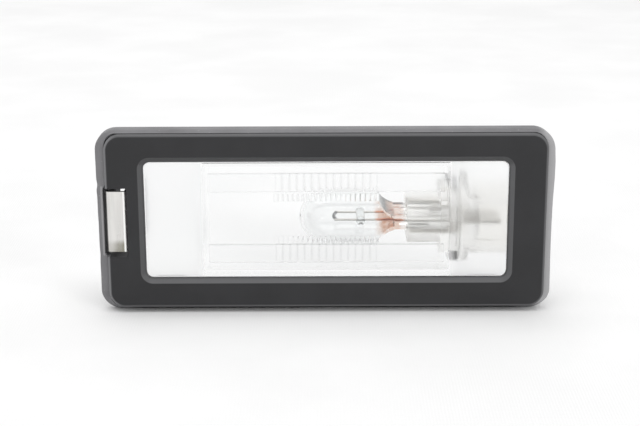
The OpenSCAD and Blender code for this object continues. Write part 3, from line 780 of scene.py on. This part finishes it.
class LAMP_OT_make_seal(bpy.types.Operator):
    """Models the soft seal. Its lip folds over the bezel's rim and kinks at the notch."""

    bl_idname = "lamp.make_seal"
    bl_label = "Make panel seal"

    corner = 3.7 * MM  # of its outline
    hole = (77.0 * MM, 28.0 * MM)  # in the panel
    block = (77.7 * MM, 31.7 * MM)  # foot of the bezel's raised face, which the lip meets
    wall = 0.6 * MM  # outside the bezel's rim
    notch_wall = 1.05 * MM  # where the lip has no face to meet
    web = 0.6 * MM  # between the rim and the panel
    rim_front = 1.9 * MM  # in front of the panel
    notch = (-6.4 * MM, 6.2 * MM)  # its lower and upper end
    ear_place = (9 * MM, 4.5 * MM)  # height of its middle, and its spread
    slow_wave, fine_wave = (95, 3.7), (420, 9.1)  # per metre, and the layer of noise

    def fold_width(self, at, normal, low, high):
        """How far the folded lip reaches in from the seal's edge: to the bezel's raised face, or
        only over the wall of the seal at the notch."""
        half_w, half_h = self.block[0] / 2, self.block[1] / 2
        side = high.x - half_w - FACE_SHIFT if normal.x > 0 else FACE_SHIFT - half_w - low.x
        level = high.z - half_h if normal.y > 0 else -half_h - low.z
        reach = side * normal.x ** 2 + level * normal.y ** 2
        if normal.x < -0.9:
            blend = 0.5 * MM
            inside = min(at.y - self.notch[0], self.notch[1] - at.y)
            open_share = min(max(inside / blend + 0.5, 0.0), 1.0)
            reach += (self.notch_wall - reach) * open_share
        return reach

    def section(self, height, inner, fold, hole_gap):
        """The seal's section, as (distance inside the outer edge, height in front of the panel).
        The lip is height high at its outer edge and inner high where it meets the bezel, and
        reaches in by fold. The hole in the panel starts hole_gap inside the outer edge."""
        edge = 0.3 * MM
        tuck = 0.05 * MM
        return [
            (0.0, 0.0), (0.0, height - 1.5 * edge), (0.12 * edge, height - 0.8 * edge),
            (0.4 * edge, height - 0.3 * edge), (edge, height), (fold - 2.2 * tuck, inner),
            (fold - tuck, inner - 0.3 * tuck), (fold, inner - 2.0 * tuck),
            (fold, self.rim_front), (self.wall, self.rim_front - 0.05 * MM),
            (self.wall, self.web), (hole_gap, self.web), (hole_gap, 0.0),
        ]

    def press(self, at, normal, settings, wander, flutter):
        """How far the lip is pushed outward at a point of the outline, but not into the cloth."""
        out = settings.sway * (0.7 * wander + 0.3 * flutter)
        if normal.y < -0.5:
            out = min(out, 0.0)
        if at.x > 0 and normal.x > 0:
            out += normal.x * (settings.spread + settings.ear * bell(at.y, *self.ear_place))
        if normal.x < -0.9:
            low, high = self.notch
            out -= settings.kink * bell(at.y, high + 0.3 * MM, 0.6 * MM)
            out += 0.6 * settings.kink * bell(at.y, high - 0.8 * MM, 0.6 * MM)
            out -= 0.6 * settings.kink * bell(at.y, low, 0.8 * MM)
        return out

    def execute(self, context):
        settings = context.scene.lamp_seal
        low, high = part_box("panel_seal")
        middle = (low.z + high.z) / 2
        width, height = high.x - low.x, high.z - low.z
        total = outline_length(width, height, self.corner)
        side_gap = (width - self.hole[0]) / 2
        points = []
        for i in range(settings.stations):
            at, normal = rounded_outline(width, height, self.corner, total * i / settings.stations)
            at.y += middle
            wander, flutter = wave(at, *self.slow_wave), wave(at, *self.fine_wave)
            out = self.press(at, normal, settings, wander, flutter)
            top = -low.y + 0.1 * MM * wander
            fold = self.fold_width(at, normal, low, high)
            level_gap = abs(at.y) - self.hole[1] / 2 if abs(normal.y) > 0.5 else side_gap
            hole_gap = side_gap * normal.x ** 2 + level_gap * normal.y ** 2
            inner = top + settings.climb
            outer = top - settings.roll * max(-normal.y, 0.0)
            for inward, rise in self.section(outer, inner, fold, hole_gap):
                share = max(rise / top, 0.0) * max(1 - inward / fold, 0.0)
                spot = at - normal * (inward - out * share)
                points.append((spot.x, -rise, spot.y))
        inner_edge = low.x + self.notch_wall
        # Span of the painted highlight on the seal's left edge.
        painted_left_highlight = (inner_edge - 0.3 * MM, inner_edge, self.notch[1])
        rubber = seal_material(settings.colour[:], settings.painted_light_tone[:], painted_left_highlight)
        sides = len(points) // settings.stations
        faces = [tuple(reversed(f)) for f in ring_faces(settings.stations, sides, True)]
        seal = add_piece("soft_panel_seal", points, faces, rubber, ["panel_seal"])
        seal.data.set_sharp_from_angle(angle=math.radians(50))
        return {"FINISHED"}


class LAMP_OT_finish_clear(bpy.types.Operator):
    """Makes the lens and the light box clear."""

    bl_idname = "lamp.finish_clear"
    bl_label = "Finish lens and light box"

    def execute(self, context):
        tint = context.scene.lamp_finish.clear[:]
        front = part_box("light_box")[0].y
        lens = clear_material(
            "Clear lens", tint, LENS_IOR, rough=0.012, ripple=0.004 * MM,
            satin=lens_satin, faint=level_sides)
        set_material("lens", lens)
        box = clear_material("Clear light box", tint, BOX_IOR, rough=0.02, ripple=0.006 * MM)
        parted_copy("light_box", "clear_light_box", box, front, BOX_GAP)
        return {"FINISHED"}


class LAMP_OT_finish_clip(bpy.types.Operator):
    """Gives the spring clip its rolled steel."""

    bl_idname = "lamp.finish_clip"
    bl_label = "Finish spring clip"

    def execute(self, context):
        set_material("spring_clip", steel_material(context.scene.lamp_finish))
        return {"FINISHED"}


class LAMP_OT_finish_holder(bpy.types.Operator):
    """Finishes the holder, its soft ring and the two contacts."""

    bl_idname = "lamp.finish_holder"
    bl_label = "Finish holder"

    def execute(self, context):
        tint = context.scene.lamp_finish.holder[:]
        milky = clear_material(
            "Natural milky moulding", tint, HOLDER_IOR, rough=0.4, ripple=0.01 * MM)
        set_material("bulb_holder", milky)
        silicone = clear_material(
            "Ring silicone", SILICONE, RING_IOR, rough=0.4, ripple=0.01 * MM, faint=level_sides)
        set_material("holder_ring", silicone)
        brass = metal_material("Tin plated brass", TIN, rough=0.5, scale=4200.0, metallic=0.2)
        for node in ("contact_upper", "contact_lower"):
            set_material(node, brass)
        return {"FINISHED"}


class LAMP_OT_make_bulb(bpy.types.Operator):
    """Finishes the bulb's glass and wires and winds its filament."""

    bl_idname = "lamp.make_bulb"
    bl_label = "Make bulb"

    def execute(self, context):
        low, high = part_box("bulb_bead")
        middle, reach = (low.z + high.z) / 2, 2.2 * MM
        stain = (COPPER_STAIN, high.x + STAIN_START, high.x + COPPER_END, middle, reach)
        glass = clear_material(
            "Bulb glass", BULB_GLASS, GLASS_IOR, rough=0.004, ripple=0.006 * MM, stain=stain)
        set_material("bulb_glass", glass)
        bead = clear_material("Bead glass", BEAD_GLASS, GLASS_IOR, rough=0.01, ripple=0.004 * MM)
        set_material("bulb_bead", bead)
        copper = metal_material(
            "Copper clad wire", context.scene.lamp_finish.copper[:], rough=0.24, scale=6000.0,
            bare=(high.x + COPPER_START, high.x + COPPER_END))
        for node in ("bulb_wire_upper", "bulb_wire_lower"):
            set_material(node, copper)
        self.wind_filament(context.scene.lamp_bulb)
        return {"FINISHED"}

    def wind_filament(self, settings):
        """Winds the coil between the ends of its solid, which is a plain rod."""
        low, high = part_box("bulb_filament")
        middle = (low + high) / 2
        steps, sides = 12, 6
        count = settings.turns * steps
        points = []
        for i in range(count + 1):
            share = i / count
            turn = 2 * math.pi * settings.turns * share
            arch = settings.arch * math.sin(math.pi * share)
            centre = Vector((middle.x - arch, low.y + (high.y - low.y) * share, middle.z))
            radial = Vector((math.cos(turn), 0, math.sin(turn)))
            spot = centre + radial * settings.coil_radius
            for j in range(sides):
                around = 2 * math.pi * j / sides
                points.append(spot + settings.wire_radius * (
                    radial * math.cos(around) + Vector((0, 1, 0)) * math.sin(around)))
        faces = ring_faces(count + 1, sides, False)
        faces += [tuple(range(sides - 1, -1, -1)), tuple(count * sides + j for j in range(sides))]
        tungsten = metal_material("Tungsten wire", TUNGSTEN, rough=0.35, scale=9000.0)
        add_piece("filament_coil", points, faces, tungsten, ["bulb_filament"])


class LAMP_OT_make_stage(bpy.types.Operator):
    """Lays the white cloth, lights the room and sets the camera."""

    bl_idname = "lamp.make_stage"
    bl_label = "Make stage"

    floor_half = 1.5
    overhead_size, overhead_place = (1.4, 1.0), (-0.1, -0.08, 1.0)
    side_size, side_place = (0.3, 0.3), (0.6, -0.7, 0.35)
    sensor_width = 36  # in millimetres, as Blender has it
    near_limit = 0.01

    def execute(self, context):
        settings = context.scene.lamp_stage
        self.lay_floor()
        self.light_room(context, settings)
        self.hang_lamp("overhead_lamp", settings.lamp, self.overhead_size, self.overhead_place)
        self.hang_lamp("side_lamp", settings.side_lamp, self.side_size, self.side_place)
        self.set_camera(context, settings)
        context.scene.view_settings.view_transform = "Standard"
        return {"FINISHED"}

    def lay_floor(self):
        """A flat cloth under the lamp, which is stage and no part of it."""
        half = self.floor_half
        mesh = bpy.data.meshes.new("cloth_floor")
        corners = [(-half, -half), (half, -half), (half, half), (-half, half)]
        mesh.from_pydata([(x, y, FLOOR_Z) for x, y in corners], [], [(0, 1, 2, 3)])
        floor = bpy.data.objects.new("cloth_floor", mesh)
        mesh.materials.append(cloth_material())
        bpy.context.scene.collection.objects.link(floor)

    def light_room(self, context, settings):
        """A white room that looks brighter than it lights the lamp."""
        world = bpy.data.worlds.new("White room")
        world.use_nodes = True
        context.scene.world = world
        tree = world.node_tree
        tree.nodes.clear()
        path = new_node(tree, "ShaderNodeLightPath").outputs
        seen = math_node(tree, "MAXIMUM", path["Is Camera Ray"], path["Is Glossy Ray"])
        seen = math_node(tree, "MAXIMUM", seen, path["Is Transmission Ray"])
        strength = ramp(tree, seen, 0.0, 1.0, settings.room, settings.paper)
        room = new_node(
            tree, "ShaderNodeBackground", {"Color": (1.0, 1.0, 1.0), "Strength": strength})
        output = new_node(tree, "ShaderNodeOutputWorld")
        tree.links.new(room.outputs[0], output.inputs["Surface"])

    def hang_lamp(self, name, power, size, where):
        """A soft rectangular lamp that points at the object."""
        where = Vector(where)
        light = bpy.data.lights.new(name, "AREA")
        light.energy = power
        light.shape = "RECTANGLE"
        light.size, light.size_y = size
        lamp = bpy.data.objects.new(name, light)
        lamp.location = where
        lamp.rotation_euler = (-where).to_track_quat("-Z", "Y").to_euler()
        bpy.context.scene.collection.objects.link(lamp)

    def set_camera(self, context, settings):
        """Sets the camera by the way it looks, its roll and the point it looks at."""
        look = Vector((
            math.sin(settings.yaw) * math.cos(settings.pitch),
            math.cos(settings.yaw) * math.cos(settings.pitch),
            -math.sin(settings.pitch)))
        level = Vector((math.cos(settings.yaw), -math.sin(settings.yaw), 0))
        upright = level.cross(look)
        right = level * math.cos(settings.roll) + upright * math.sin(settings.roll)
        up = upright * math.cos(settings.roll) - level * math.sin(settings.roll)
        data = bpy.data.cameras.new("camera")
        data.lens = settings.lens
        data.sensor_width = self.sensor_width
        data.clip_start = self.near_limit
        camera = bpy.data.objects.new("camera", data)
        turn = Matrix((right, up, -look)).transposed().to_4x4()
        where = Vector(settings.aim) - look * settings.distance
        camera.matrix_world = Matrix.Translation(where) @ turn
        bpy.context.scene.collection.objects.link(camera)
        context.scene.camera = camera


# Registration


OPERATORS = (
    LAMP_OT_finish_bezel, LAMP_OT_make_seal, LAMP_OT_finish_clear, LAMP_OT_finish_clip,
    LAMP_OT_finish_holder, LAMP_OT_make_bulb, LAMP_OT_make_stage,
)


class LAMP_PT_dressing(bpy.types.Panel):
    """Lists the steps that dress the lamp."""

    bl_label = "Number plate lamp"
    bl_space_type = "VIEW_3D"
    bl_region_type = "UI"
    bl_category = "Lamp"

    def draw(self, context):
        for operator in OPERATORS:
            self.layout.operator(operator.bl_idname)


PROPERTIES = {
    "lamp_seal": LampSealProperties,
    "lamp_finish": LampFinishProperties,
    "lamp_bulb": LampBulbProperties,
    "lamp_stage": LampStageProperties,
}


def register():
    for group in PROPERTIES.values():
        bpy.utils.register_class(group)
    for name, group in PROPERTIES.items():
        setattr(bpy.types.Scene, name, bpy.props.PointerProperty(type=group))
    for operator in OPERATORS:
        bpy.utils.register_class(operator)
    bpy.utils.register_class(LAMP_PT_dressing)


def unregister():
    bpy.utils.unregister_class(LAMP_PT_dressing)
    for operator in reversed(OPERATORS):
        bpy.utils.unregister_class(operator)
    for name in PROPERTIES:
        delattr(bpy.types.Scene, name)
    for group in reversed(list(PROPERTIES.values())):
        bpy.utils.unregister_class(group)


def main():
    register()
    bpy.ops.lamp.finish_bezel()
    bpy.ops.lamp.make_seal()
    bpy.ops.lamp.finish_clear()
    bpy.ops.lamp.finish_clip()
    bpy.ops.lamp.finish_holder()
    bpy.ops.lamp.make_bulb()
    bpy.ops.lamp.make_stage()


if __name__ == "__main__":
    main()
